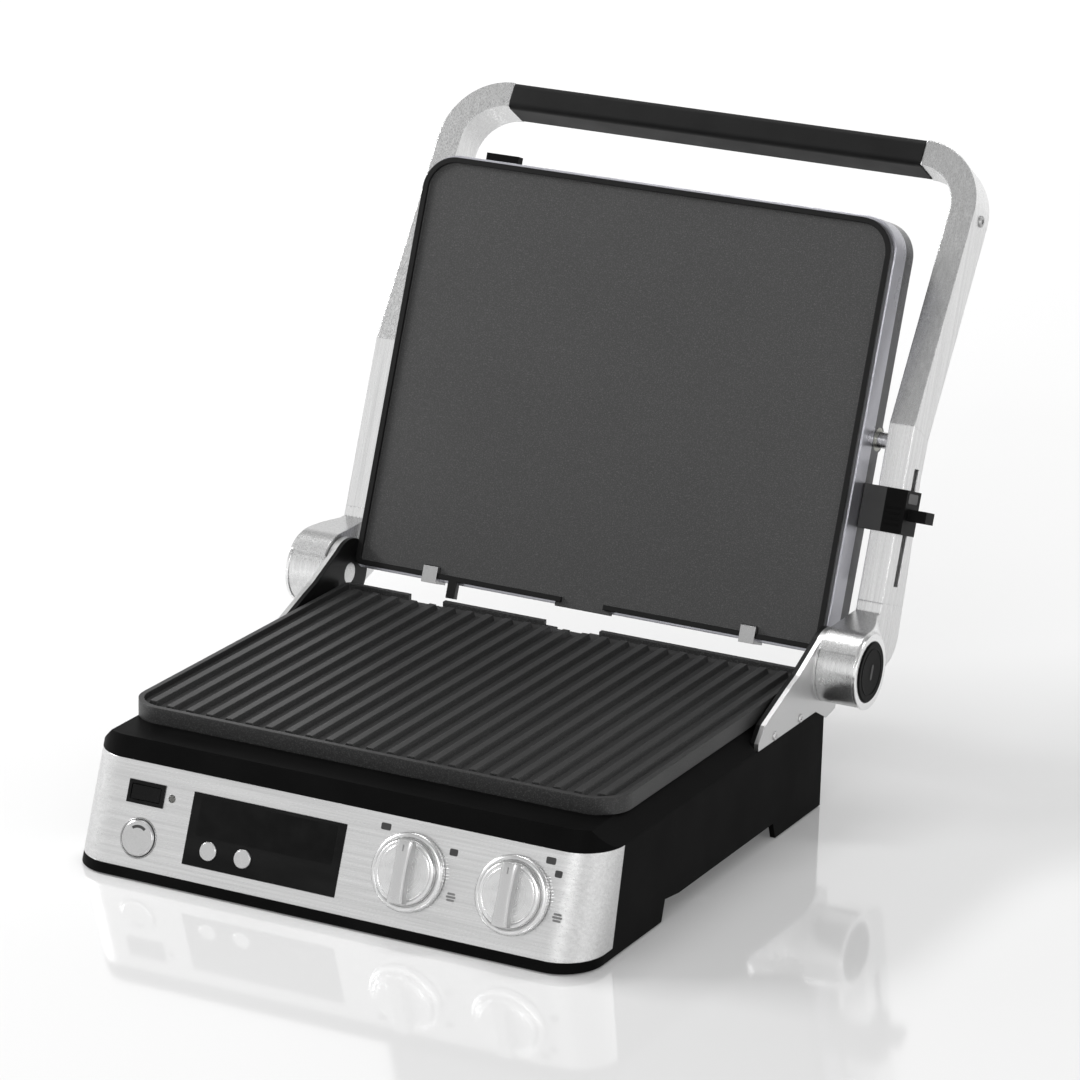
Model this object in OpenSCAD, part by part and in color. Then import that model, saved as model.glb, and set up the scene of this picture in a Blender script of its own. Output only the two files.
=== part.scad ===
// Electric indoor grill: a base with a ribbed plate, and a floating lid with a flat plate
// that opens on two side hinges. Millimetres, +Z up, front towards -Y.
// The origin lies on the table under the middle of the grill with its lid open.

/* [Base] */
// Width of the base housing
base_w = 300; // [292:1:320]
// Depth of the base, from the foot of the fascia to the rear wall
base_d = 285; // [280:1:310]
// Height of the side walls
base_h = 57.7; // [56:0.1:62]
// Black skirt below the fascia
skirt_h = 6; // [5:0.5:8]
// Backward lean of the fascia
fascia_lean = 20; // [16:1:22]
// Front corner radius of the base
corner_r = 22; // [18:1:26]
// Wall of the housing and of the deck
wall = 3; // [2.5:0.1:3.5]
// Height of the deck above the side walls
deck_h = 10.9; // [9:0.1:13]
// Arches between the feet, height
arch_h = 10; // [8:0.5:11]
// Lift of the housing above the table
foot_lift = 0.8; // [0.5:0.1:1.5]

/* [Controls] */
// Thickness of the stainless fascia
sheet_t = 1; // [0.8:0.1:1.2]
// Outer radius of a knob
knob_r = 20.3; // [18:0.1:21]
// Height of a knob above the fascia
knob_h = 12; // [10:0.5:14]
// Place of the temperature knob across the fascia
temperature_x = 46.5; // [44:0.5:50]
// Place of the timer knob across the fascia
timer_x = 105.5; // [100:0.5:107]
// Place of both knobs up the fascia
knob_up = 28.6; // [27:0.1:30]
// Width of the display window
window_w = 89.8; // [80:0.1:90]
// Height of the display window
window_h = 37.5; // [34:0.5:38]
// Radius of the start button
start_r = 9.5; // [8:0.1:10]
// Radius of the two display buttons
small_button_r = 4.9; // [4:0.1:5.2]
// Length of the power rocker
rocker_w = 21.5; // [20:0.1:23]

/* [Plates] */
// Width of both cooking plates
plate_w = 286; // [280:1:288]
// Depth of both cooking plates
plate_l = 234; // [228:1:236]
// Corner radius of the plates away from the hinge
plate_r = 19; // [16:0.5:22]
// Height of the lower plate
lower_plate_h = 9; // [8:0.1:10]
// Distance between two ribs
rib_pitch = 11.9; // [10:0.1:14]
// Height of a rib
rib_h = 3; // [2:0.1:3.5]
// Gap between the hinge axis and the near edge of both plates
plate_near = 6; // [6:0.1:7]

/* [Hinges] */
// Height of the hinge axis above the table
hinge_z = 80.5; // [80:0.1:84]
// Radius of the hinge pins
hinge_pin_r = 6; // [5:0.1:7]
// Radius of the hinge barrels
barrel_r = 20; // [18:0.1:21]
// Outer face of the hub caps, from the middle
hub_x = 174.5; // [174:0.1:180]
// Lid angle from closed, as it stands
lid_open = 109.5; // [100:0.5:112]

/* [Arms and handle] */
// Width of the arms and of the handle bar
arm_w = 14.5; // [13:0.1:16]
// Depth of the handle bar
bar_d = 24; // [22:0.5:26]
// Length of the handle beyond the arms
handle_l = 162; // [155:1:164]
// Backward kink of the handle
handle_kink = 13.9; // [12:0.1:15]
// Outer corner radius of the handle
handle_r = 38; // [32:1:42]
// Length of the arms along the lid, up to the handle
arm_top = 134.3; // [130:0.1:138]
// Start of the arms above the hinge
arm_foot = 37; // [36.5:0.1:39]
// Length of the black grip
grip_l = 255.4; // [200:0.2:256]
// Downward travel of the lock slider
slider_down = 32; // [20:1:33]
// Upward travel of the lock slider
slider_up = 16; // [10:1:16]

/* [Lid] */
// Width of the silver lid frame
lid_w = 288; // [286:1:288]
// Depth of the silver lid frame
frame_d = 26; // [24:1:28]
// Depth of the rear cover behind the frame
cover_d = 9; // [8:0.5:12]
// Lid pivots along the lid from the hinge
pivot_a = 124; // [120:1:126]
// Lid pivots behind the face of the plate
pivot_d = 28; // [27:0.1:29]
// Radius of the lid pivot pins
pivot_pin_r = 4.5; // [4:0.1:5]

/* [Drip tray] */
// Width of the drip tray
tray_w = 120; // [100:2:140]
// Depth of the drip tray
tray_l = 88; // [70:1:100]
// Height of the drip tray
tray_h = 18; // [14:1:20]

/* [Hidden] */
$fn = 64;

tick = 0.01;            // thickness of an outline inside a hull
run = 0.05;             // running clearance of a pin in its bush
slip = 0.3;             // clearance beside a moving piece
past = 1;               // overlap of a cutter beyond the face it cuts

// Base
hinge_setback = 0.5;
rear_y = hinge_setback;
front_y = rear_y - base_d;
rear_r = 4;
prism_below = 40;
half_w = base_w / 2;
deck_z = base_h + deck_h;
deck_rear = -plate_near + 0.5;
arch_front = front_y + 87;
arch_rear = rear_y - 60;
rear_step_y = rear_y - 14.5;
rear_step_z = base_h - 7.7;
cover_z = 10.5;
cover_t = 2;
floor_z = cover_z + cover_t;
boss_r = 5;
boss_h = 15;
screw_r = 1.75;
gland_x = 105;
gland_z = 34;
gland_r = 7;
boss_ys = [front_y + 24, front_y + 150, rear_y - 12];
boss_x = half_w - wall - boss_r + 0.5;
foot_r = 9;
foot_x = half_w - 26;
foot_ys = [front_y + 26, rear_y - 20];
tower_z = 2.8;

// Fascia
fascia_end_front = 32;
fascia_end_lean = 11.4;
board_z = -12.4;
board_t = 1.6;
board_low = 13.5;
board_top = 47;
board_post_xs = [-90, 17, 76, 122];
board_post_up = 20;
window_x = -37.6;
window_up = 26.8;
module_h = 21;
module_up = 33.5;
small_button_up = 17;
small_button_xs = [-68.5, -48.2];
start_x = -110.2;
start_up = 16;
start_proud = 1.5;
start_press = 2;
cap_depth = 2.6;
lamp_x = -94.9;
lamp_r = 2;
rocker_up = 39.3;
rocker_h = 12;
rocker_flange = 1;
rocker_pivot_z = -3;
rocker_tilt = 7;
rocker_pin_r = 1;
encoder_r = 7;
spindle_r = 3;
knob_lift = 0.3;
dial_h = 4.5;
knob_bar_w = 9;
bar_reach = knob_r - 3.6;

// Plates
near_r = 4;
rim_w = 3;
plate_skin = 3.6;
valley_z = deck_z + lower_plate_h - rib_h;
plate_top_z = deck_z + lower_plate_h;
rib_top_w = 4;
rib_foot_w = 6.5;
rib_gap = 6;
rib_count = floor((plate_w - 2 * rim_w - rib_foot_w - 4) / rib_pitch) + 1;
seat_w = 11;
spout_w = 34;
latch_notch_x = -91;
latch_notch_w = 21.5;
upper_rim_d = 2.3;
upper_plate_d = 5;
lug_x = -80.5;
lug_w = 5;
lug_l = 9.5;

// Reflectors and elements, measured behind a plate
pan_inset = 19;
flange_w = 7;
pan_t = 0.8;
pan_depth = 14;
plate_to_pan = 2.1;
element_r = 3.3;
element_away = 7;
element_leg_x = 35;
element_end = 24;
sensor_r = 4;
sensor_along = 100;
terminal_l = 16;

// Hinges
bracket_in = lid_w / 2 + 0.8;
boss_x_out = 151.2;
arm_in = 151.5;
arm_out = arm_in + arm_w;
knuckle_out = hub_x - 1.5;
hood_t = 2;
hood_from = -50;
hood_to = 160;
heel = [36, 20];
heel_r = 16.5;
arm_front = 21.2;
arm_back = 51.3;
bush_r = hinge_pin_r + 3;
pin_end = knuckle_out - 8.5;
recess_x = knuckle_out - 7.5;
cap_r = barrel_r + 0.5;
button_r = barrel_r - 3.5;
button_proud = 0.8;

// Lid
lid_near = plate_near - 1.5;
lid_l = plate_l + 3;
lid_wall = 4;
frame_front = upper_plate_d;
frame_back = frame_front + frame_d;
ledge_d = upper_plate_d + plate_to_pan + pan_t;
cover_edge = 30;
cover_wall = 2;
cover_inset = 2;
screw_tube_r = 5.6;
screw_tube_l = frame_back - ledge_d - 2;
lid_screw_seat = 3.4;
lid_screw_in = 13;
lid_screw_head_r = 3.2;
screw_reach = frame_back - ledge_d - 0.5;
pivot_boss_r = pivot_pin_r + 3;
pivot_bush_r = pivot_pin_r + 2;
pivot_in = 126;
release_x = -102;
release_w = 20;
release_d0 = ledge_d + 2.3;
release_t = 5.8;
release_proud = 4.5;
clip_xs = [-95, 100.5];
clip_w = 9;
clip_up = 6.4;

// Arms and handle
seam = [arm_front + 0.2, arm_top];
slider_a = 87.4;
slider_h = 24.2;
collar_t = 2;
collar_out = arm_out + 4;
stem_d = 36;
stem_w = 6;
stem_h = 16;
tab_out = 180.3;
tab_h = 6.5;
handle_end = [
    seam[0] + bar_d * cos(handle_kink) + handle_l * sin(handle_kink),
    seam[1] - bar_d * sin(handle_kink) + handle_l * cos(handle_kink)
];
lid_tilt = lid_open - 90;
back_y = handle_end[0] * cos(lid_tilt) + handle_end[1] * sin(lid_tilt);
grip_t = 3;
grip_proud = 0.5;
grip_round = 4;
handle_screw_a = handle_l - handle_r;

// The middle of the open grill along Y, measured from the hinge axis
knob_front = front_y + (knob_up - bar_reach) * sin(fascia_lean) - knob_h * cos(fascia_lean);
centre_y = (min(lean_y(foot_lift), knob_front) + back_y) / 2;

steel = "#cfcfcd";
dark = "#1b1b1c";
coated = "#3c3c3d";
silver = "#b9bdc4";

// Y of the fascia's outer face at height z
function lean_y(z) = front_y + (z - skirt_h) * tan(fascia_lean);

// ---------------------------------------------------------------- helpers
module right_and_left() {
    children();
    mirror([1, 0, 0]) children();
}

module side(right) mirror([right ? 0 : 1, 0, 0]) children();

// Outline drawn in Y and Z, extruded from x0 to x1
module yz_plate(x0, x1)
    translate([x0, 0, 0]) rotate([90, 0, 90]) linear_extrude(height = x1 - x0) children();

// Outline drawn in X and Z, extruded from y0 to y1
module xz_plate(y0, y1)
    translate([0, y1, 0]) rotate([90, 0, 0]) linear_extrude(height = y1 - y0) children();

module x_rod(x0, x1, r) translate([x0, 0, 0]) rotate([0, 90, 0]) cylinder(h = x1 - x0, r = r);

module block(from, to) translate(from) cube(to - from);

// Rectangle on the Y axis with small radii near the hinge and large ones far from it
module plate_outline(w, l, r_near, r_far) {
    translate([-w / 2, r_near]) square([w, l - r_near - r_far]);
    translate([r_near - w / 2, 0]) square([w - 2 * r_near, r_near + tick]);
    translate([r_far - w / 2, l - r_far - tick]) square([w - 2 * r_far, r_far + tick]);
    for (s = [-1, 1]) {
        translate([s * (w / 2 - r_near), r_near]) circle(r = r_near);
        translate([s * (w / 2 - r_far), l - r_far]) circle(r = r_far);
    }
}

module cooking_outline(inset = 0)
    translate([0, plate_near + inset])
        plate_outline(plate_w - 2 * inset, plate_l - 2 * inset, max(near_r - inset, 1),
                      max(plate_r - inset, 1));

module lid_outline(inset = 0)
    translate([0, lid_near + inset])
        plate_outline(lid_w - 2 * inset, lid_l - 2 * inset, max(near_r - inset, 1),
                      max(plate_r - inset, 1));

// Outline pieces of the lower half run from the hinge to the front
module to_front() mirror([0, 1]) children();

// ---------------------------------------------------------------- frames
module hinge_frame() translate([0, -centre_y, 0]) children();

// Arm frame: X across, Y behind the face of the open lid, Z along it from the hinge axis
module arm_frame() hinge_frame() translate([0, 0, hinge_z]) rotate([-lid_tilt, 0, 0]) children();

// Handle frame, with Z along the kinked handle
module kinked_frame()
    arm_frame() translate([0, seam[0], seam[1]]) rotate([-handle_kink, 0, 0]) children();

// Fascia frame: X across, Y up the slope, Z out of it
module on_fascia(x = 0, up = 0)
    hinge_frame()
        translate([x, front_y + up * sin(fascia_lean), skirt_h + up * cos(fascia_lean)])
            rotate([90 - fascia_lean, 0, 0]) children();

// Frames with X across, Y along from the hinge and Z away behind the plate
module under_plate()
    hinge_frame() translate([0, 0, deck_z + pan_t]) rotate([180, 0, 0]) children();

module behind_plate()
    arm_frame() translate([0, ledge_d - pan_t, 0]) rotate([90, 0, 0]) mirror([0, 0, 1]) children();

// ---------------------------------------------------------------- base
// Solid of the base, drawn in by inset on every side: a prism that leans back with the fascia,
// cut off upright at the back
module lean_block(z0, z1, inset = 0) {
    r = corner_r - inset;
    back_r = max(rear_r - inset, 1);
    half = half_w - inset;
    back = rear_y - inset;
    intersection() {
        translate([0, front_y, skirt_h]) rotate([-fascia_lean, 0, 0])
            translate([0, inset, -prism_below]) linear_extrude(prism_below + base_d) {
                translate([r - half, 0]) square([2 * (half - r), base_d + prism_below]);
                translate([-half, r]) square([2 * half, base_d + prism_below]);
                for (s = [-1, 1]) translate([s * (half - r), r]) circle(r = r);
            }
        translate([0, 0, z0]) linear_extrude(z1 - z0) {
            translate([-half, front_y - prism_below])
                square([2 * half, base_d + prism_below - inset - back_r]);
            translate([back_r - half, back - back_r - tick]) square([2 * (half - back_r), back_r + tick]);
            for (s = [-1, 1]) translate([s * (half - back_r), back - back_r]) circle(r = back_r);
        }
    }
}

// Space of the fascia: in front of a slanted line on both sides, above the skirt
module fascia_zone() {
    end_y = front_y + fascia_end_front;
    rise = base_h - skirt_h;
    yz_plate(-half_w - past, half_w + past)
        polygon([
            [front_y - 20, skirt_h],
            [end_y, skirt_h],
            [end_y + (rise + past) * tan(fascia_end_lean), base_h + past],
            [front_y - 20, base_h + past]
        ]);
}

module control_holes() {
    on_fascia(window_x, module_up) translate([0, 0, -5])
        linear_extrude(6) square([window_w - 8 + 2 * slip, module_h + 2 * slip], center = true);
    for (x = small_button_xs)
        on_fascia(x, small_button_up) translate([0, 0, -6]) cylinder(h = 8, r = small_button_r + slip);
    on_fascia(start_x, start_up) translate([0, 0, -6]) cylinder(h = 8, r = start_r + slip);
    on_fascia(lamp_x, rocker_up) translate([0, 0, -6]) cylinder(h = 8, r = lamp_r);
    on_fascia(start_x, rocker_up) translate([0, 0, -4])
        cube([rocker_w - 2 * rocker_flange, rocker_h - 2 * rocker_flange, 12], center = true);
    for (x = [temperature_x, timer_x])
        on_fascia(x, knob_up) translate([0, 0, -6]) cylinder(h = 8, r = spindle_r + slip);
}

module front_fascia() color(steel) {
    difference() {
        hinge_frame() intersection() {
            difference() {
                lean_block(skirt_h, base_h);
                lean_block(skirt_h - past, base_h + past, sheet_t);
            }
            fascia_zone();
        }
        control_holes();
        on_fascia(window_x, window_up) translate([0, 0, -2])
            linear_extrude(4) square([window_w, window_h], center = true);
    }
}

module tray_space(grow) {
    translate([-tray_w / 2 - grow, rear_y - tray_l, floor_z])
        cube([tray_w + 2 * grow, tray_l + past, tray_h + grow]);
}

module base_housing() color(dark) {
    difference() {
        union() {
            hinge_frame() {
                difference() {
                    lean_block(foot_lift, base_h);
                    // seat of the fascia
                    difference() {
                        fascia_zone();
                        lean_block(-past, base_h + 2 * past, sheet_t + run);
                    }
                    lean_block(-past, base_h + past, wall);
                }
                right_and_left()
                    for (y = boss_ys)
                        translate([boss_x, y, floor_z]) cylinder(h = boss_h, r = boss_r);
            }
            for (x = board_post_xs)
                on_fascia(x, board_post_up) translate([0, 0, board_z])
                    cylinder(h = -board_z - wall + 0.5, r = 2.5);
        }
        hinge_frame() {
            right_and_left()
                for (y = boss_ys)
                    translate([boss_x, y, floor_z - past]) cylinder(h = boss_h - 2.5, r = screw_r);
            // arches between the feet, at the sides and at the back
            yz_plate(-half_w - past, half_w + past)
                polygon([
                    [arch_front, -past],
                    [arch_front + 4, arch_h + 2],
                    [arch_front + 20, arch_h],
                    [arch_rear - 4, arch_h],
                    [arch_rear, -past]
                ]);
            block([-half_w + 45, rear_y - wall - past, -past], [half_w - 45, rear_y + past, arch_h]);
            // rear corners slope down, and the brackets stand there
            right_and_left()
                yz_plate(bracket_in - 0.4, half_w + past)
                    polygon([
                        [rear_step_y, base_h],
                        [rear_y, rear_step_z],
                        [rear_y + past, rear_step_z],
                        [rear_y + past, base_h + past],
                        [rear_step_y, base_h + past]
                    ]);
            tray_space(slip);
            translate([gland_x, rear_y - wall - past, gland_z]) rotate([-90, 0, 0])
                cylinder(h = wall + 2 * past, r = gland_r);
        }
        control_holes();
    }
}

module cord_gland() color(dark)
    hinge_frame() translate([gland_x, rear_y, gland_z]) rotate([-90, 0, 0]) difference() {
        union() {
            translate([0, 0, -10]) cylinder(h = 10 + past, r = gland_r);
            cylinder(h = 2, r = gland_r + 3);
            translate([0, 0, -wall - 2.5]) cylinder(h = 2.5, r = gland_r + 3);
        }
        translate([0, 0, -10 - past]) cylinder(h = 12 + 2 * past, r = 3.8);
    }

module bottom_cover() color(dark)
    difference() {
        hinge_frame() difference() {
            union() {
                lean_block(cover_z, floor_z, wall);
                right_and_left()
                    for (y = foot_ys)
                        translate([foot_x, y, tower_z]) cylinder(h = cover_z - tower_z + 0.5, r = 12);
            }
            right_and_left() {
                for (y = boss_ys)
                    translate([boss_x, y, cover_z - past]) cylinder(h = cover_t + 2 * past, r = screw_r);
                for (y = foot_ys)
                    translate([foot_x, y, tower_z - past]) cylinder(h = 6 + past, r = 3);
                for (i = [0:5])
                    block([20 + i * 9, front_y + 110, cover_z - past],
                          [24 + i * 9, front_y + 150, floor_z + past]);
            }
        }
        // room for the start button when it is pressed
        on_fascia(start_x, start_up) translate([0, 0, -cap_depth - start_press - slip])
            cylinder(h = cap_depth + start_press, r = start_r + slip);
    }

module rubber_feet() color("#2a2a2a")
    hinge_frame() right_and_left()
        for (y = foot_ys)
            translate([foot_x, y, 0]) {
                cylinder(h = tower_z, r = foot_r);
                cylinder(h = tower_z + 5, r = 3);
            }

module cover_screws() color("#9a9a9a")
    hinge_frame() right_and_left()
        for (y = boss_ys)
            translate([boss_x, y, cover_z]) {
                translate([0, 0, -2]) cylinder(h = 2, r = 3.4);
                cylinder(h = 13, r = screw_r);
            }

// Deck solid with chamfered sides, drawn in by inset
module deck_block(z0, z1, inset, back) {
    half0 = half_w - inset + (base_h - z0);
    half1 = half_w - inset * sqrt(2) - (z1 - base_h);
    intersection() {
        lean_block(z0, z1, inset);
        xz_plate(front_y - past, back)
            polygon([[-half0, z0], [half0, z0], [half1, z1], [-half1, z1]]);
    }
}

module pan_opening(grow) to_front() cooking_outline(pan_inset - grow);

module top_deck() color(dark)
    hinge_frame() difference() {
        union() {
            difference() {
                deck_block(base_h, deck_z, 0, deck_rear);
                deck_block(base_h - past, deck_z - wall, wall, deck_rear - wall);
            }
            block([-bracket_in + 0.4, deck_rear - wall - past, base_h],
                  [bracket_in - 0.4, rear_y, base_h + 2]);
        }
        translate([0, 0, base_h]) linear_extrude(deck_h + past) pan_opening(slip);
        right_and_left()
            block([bracket_in, rear_y - 88.5, base_h - past], [half_w + past, rear_y + past, deck_z + past]);
        // drain into the drip tray
        block([-14, -17, base_h - past], [14, -10, deck_z + past]);
        // bracket screws
        bracket_screw_places() x_rod(bracket_in - 12, bracket_in + past, screw_r);
    }

module bracket_screw_places() {
    right_and_left()
        for (y = [-66, -34])
            translate([0, y, base_h + 2.6]) children();
}

// ---------------------------------------------------------------- controls
module display_window() color("#141416")
    difference() {
        on_fascia(window_x, window_up) translate([0, 0, -sheet_t])
            linear_extrude(sheet_t + 0.2) square([window_w, window_h], center = true);
        for (x = small_button_xs)
            on_fascia(x, small_button_up) translate([0, 0, -3]) cylinder(h = 5, r = small_button_r + slip);
    }

module display_module() color("#2c3a34")
    on_fascia(window_x, module_up) {
        translate([0, 0, (board_z - wall) / 2])
            cube([window_w - 2, module_h - 2, -board_z - wall], center = true);
        translate([0, 0, -wall / 2 - sheet_t / 2 - 0.25])
            cube([window_w - 8, module_h, wall - sheet_t + 0.5], center = true);
    }

module power_lamp() color("#3a6a3a")
    on_fascia(lamp_x, rocker_up) translate([0, 0, board_z]) {
        cylinder(h = -board_z - 0.4, r = lamp_r);
        translate([0, 0, -board_z - 0.4]) cylinder(h = 0.9, r1 = lamp_r, r2 = lamp_r - 0.7);
        cylinder(h = -board_z - wall, r = lamp_r + 0.6);
    }

module rocker_frame() color(dark)
    on_fascia(start_x, rocker_up) difference() {
        union() {
            translate([0, 0, 0.4]) cube([rocker_w, rocker_h, 0.8], center = true);
            translate([0, 0, board_z / 2])
                cube([rocker_w - 2 * rocker_flange, rocker_h - 2 * rocker_flange, -board_z], center = true);
        }
        block([-rocker_w / 2 + 1.9, -rocker_h / 2 + 2, -9.5], [rocker_w / 2 - 1.9, rocker_h / 2 - 2, 2]);
        translate([0, 0, rocker_pivot_z]) rotate([90, 0, 0])
            cylinder(h = rocker_h - 2.4, r = rocker_pin_r + run, center = true);
    }

module power_rocker() color("#222223") {
    half = rocker_w / 2 - 2.75;
    thick = rocker_h - 4.6;
    on_fascia(start_x, rocker_up) translate([0, 0, rocker_pivot_z]) rotate([0, rocker_tilt, 0]) {
        rotate([90, 0, 0]) linear_extrude(thick, center = true)
            polygon([[-half, 4.5], [0, 3.6], [half, 4.5], [half - 0.4, 0.5], [3, -3], [-3, -3],
                     [0.4 - half, 0.5]]);
        rotate([90, 0, 0]) cylinder(h = rocker_h - 2.8, r = rocker_pin_r, center = true);
    }
}

module start_button() color(steel)
    on_fascia(start_x, start_up) {
        translate([0, 0, board_z + start_press])
            cylinder(h = -board_z - start_press - cap_depth + tick, r = start_r / 3);
        translate([0, 0, -cap_depth]) cylinder(h = cap_depth + start_proud - 0.8, r = start_r);
        translate([0, 0, start_proud - 0.8]) cylinder(h = 0.8, r1 = start_r, r2 = start_r - 0.8);
    }

module small_button(x) color("#a8a8a8")
    on_fascia(x, small_button_up) translate([0, 0, board_z + 1]) {
        cylinder(h = -board_z - 1 + 0.5, r = small_button_r);
        translate([0, 0, -board_z - 0.5]) cylinder(h = 0.4, r1 = small_button_r, r2 = small_button_r - 0.4);
    }

module display_button_left() small_button(small_button_xs[0]);
module display_button_right() small_button(small_button_xs[1]);

module control_board() color("#2f5b3a")
    on_fascia() translate([0, 0, board_z - board_t])
        block([-half_w + 24, board_low, 0], [half_w - 21, board_top, board_t]);

module power_board() color("#2f5b3a")
    hinge_frame() {
        translate([72, rear_y - 150, floor_z]) cube([60, 90, 1.6]);
        translate([84, rear_y - 135, floor_z + 1.6]) cube([18, 26, 15]);
        translate([110, rear_y - 110, floor_z + 1.6]) cylinder(h = 18, r = 7);
        translate([84, rear_y - 92, floor_z + 1.6]) cube([30, 16, 12]);
    }

module encoder(x) color("#8d8f92")
    on_fascia(x, knob_up) translate([0, 0, board_z]) difference() {
        cylinder(h = -board_z - wall, r = encoder_r);
        translate([0, 0, 2]) cylinder(h = -board_z, r = spindle_r + run);
    }

module temperature_encoder() encoder(temperature_x);
module timer_encoder() encoder(timer_x);

module spindle(x) color("#c2b280")
    on_fascia(x, knob_up) translate([0, 0, board_z + 2 + slip])
        cylinder(h = -board_z - 2 - slip + knob_h - 4, r = spindle_r);

module temperature_spindle() spindle(temperature_x);
module timer_spindle() spindle(timer_x);

module knob(x) color(steel)
    on_fascia(x, knob_up) difference() {
        union() {
            translate([0, 0, knob_lift]) rotate_extrude()
                polygon([[0, 0], [knob_r - 0.6, 0], [knob_r, 0.6], [knob_r, dial_h - 1.4],
                         [knob_r - 1, dial_h - 0.4], [knob_r - 2.6, dial_h - 0.4],
                         [knob_r - 3.4, dial_h + 2], [0, dial_h + 2]]);
            intersection() {
                translate([0, 0, (knob_h + dial_h) / 2])
                    cube([knob_bar_w, 50, knob_h - dial_h], center = true);
                cylinder(h = knob_h, r = bar_reach);
            }
        }
        translate([0, 0, -past]) cylinder(h = knob_h - 4 + past, r = spindle_r);
    }

module temperature_knob() knob(temperature_x);
module timer_knob() knob(timer_x);

// ---------------------------------------------------------------- heat, shared by both halves
module reflector() color("#b8b8b8")
    difference() {
        union() {
            linear_extrude(pan_t) cooking_outline(pan_inset - flange_w);
            linear_extrude(pan_depth) cooking_outline(pan_inset);
        }
        translate([0, 0, -past]) linear_extrude(pan_depth + past - pan_t) cooking_outline(pan_inset + pan_t);
        for (s = [-1, 1])
            translate([s * 3 * element_leg_x, plate_near + element_end + 8, 0])
                cylinder(h = pan_depth + past, r = element_r + slip);
        translate([0, sensor_along, 0]) cylinder(h = pan_depth + past, r = 2);
    }

module heating_element() color("#6d6a66") {
    near = plate_near + element_end + 8 + element_leg_x;
    far = plate_near + plate_l - element_end - element_leg_x;
    terminal = plate_near + element_end + 8;
    translate([0, 0, element_away]) {
        for (s = [-1, 1]) {
            translate([s * element_leg_x, near, 0]) rotate([-90, 0, 0])
                cylinder(h = far - near, r = element_r);
            translate([s * 3 * element_leg_x, terminal, 0]) rotate([-90, 0, 0])
                cylinder(h = far - terminal, r = element_r);
            translate([s * 2 * element_leg_x, far, 0]) rotate_extrude(angle = 180)
                translate([element_leg_x, 0]) circle(r = element_r);
            translate([s * 3 * element_leg_x, terminal, 0]) {
                sphere(r = element_r);
                cylinder(h = terminal_l, r = element_r);
            }
        }
        translate([0, near, 0]) rotate([0, 0, 180]) rotate_extrude(angle = 180)
            translate([element_leg_x, 0]) circle(r = element_r);
    }
}

module temp_sensor(reach) color("#c7c7c7")
    translate([0, sensor_along, 0]) {
        translate([0, 0, -reach]) cylinder(h = pan_depth - pan_t + reach, r = sensor_r);
        translate([0, 0, pan_depth - pan_t - 3]) cylinder(h = 3, r = sensor_r + 3);
        translate([0, 0, pan_depth - pan_t - past]) cylinder(h = 8, r = 2);
    }

module lower_reflector() under_plate() reflector();
module lower_heating_element() under_plate() heating_element();
module lower_temp_sensor()
    under_plate() temp_sensor(lower_plate_h - rib_h - plate_skin - pan_t - slip);
module upper_reflector() behind_plate() reflector();
module upper_heating_element() behind_plate() heating_element();
module upper_temp_sensor() behind_plate() temp_sensor(plate_to_pan - slip);

// ---------------------------------------------------------------- lower plate and tray
module lower_plate() color(coated)
    hinge_frame() difference() {
        union() {
            translate([0, 0, deck_z]) linear_extrude(lower_plate_h - rib_h) to_front() cooking_outline();
            translate([0, 0, deck_z]) linear_extrude(lower_plate_h) to_front() difference() {
                cooking_outline();
                cooking_outline(rim_w);
            }
            for (i = [0:rib_count - 1]) rib((i - (rib_count - 1) / 2) * rib_pitch);
        }
        // hollow underside, with a seat all round
        translate([0, 0, deck_z - past])
            linear_extrude(lower_plate_h - rib_h - plate_skin + past) to_front() cooking_outline(seat_w);
        // drain and latch notches in the rear rim
        block([-spout_w / 2, -plate_near - rim_w - past, valley_z], [spout_w / 2, 0, plate_top_z + past]);
        block([-10, -plate_near - 3, deck_z - past], [10, 0, plate_top_z + past]);
        block([latch_notch_x - latch_notch_w / 2, -plate_near - 3, deck_z - past],
              [latch_notch_x + latch_notch_w / 2, 0, plate_top_z + past]);
    }

module rib(x) {
    // ribs beside the front corners stop where the corner begins
    beside = max(0, abs(x) + rib_foot_w / 2 - (plate_w / 2 - plate_r));
    shorter = plate_r - sqrt(max(0, plate_r * plate_r - beside * beside));
    xz_plate(-plate_near - plate_l + rib_gap + shorter, -plate_near - rim_w - rib_gap)
        translate([x, valley_z])
            polygon([[-rib_foot_w / 2, -0.5], [rib_foot_w / 2, -0.5], [rib_top_w / 2, rib_h - 0.1],
                     [-rib_top_w / 2, rib_h - 0.1]]);
}

module drip_tray() color("#2b2b2c")
    hinge_frame() difference() {
        translate([-tray_w / 2, rear_y - tray_l + slip, floor_z])
            cube([tray_w, tray_l - slip, tray_h]);
        translate([-tray_w / 2 + 2, rear_y - tray_l + 2 + slip, floor_z + 2])
            cube([tray_w - 4, tray_l - 5 - slip, tray_h]);
        // finger pull in the rear face
        translate([0, rear_y + 6, floor_z + tray_h]) rotate([0, 90, 0])
            cylinder(h = 40, r = 8, center = true);
    }

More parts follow.
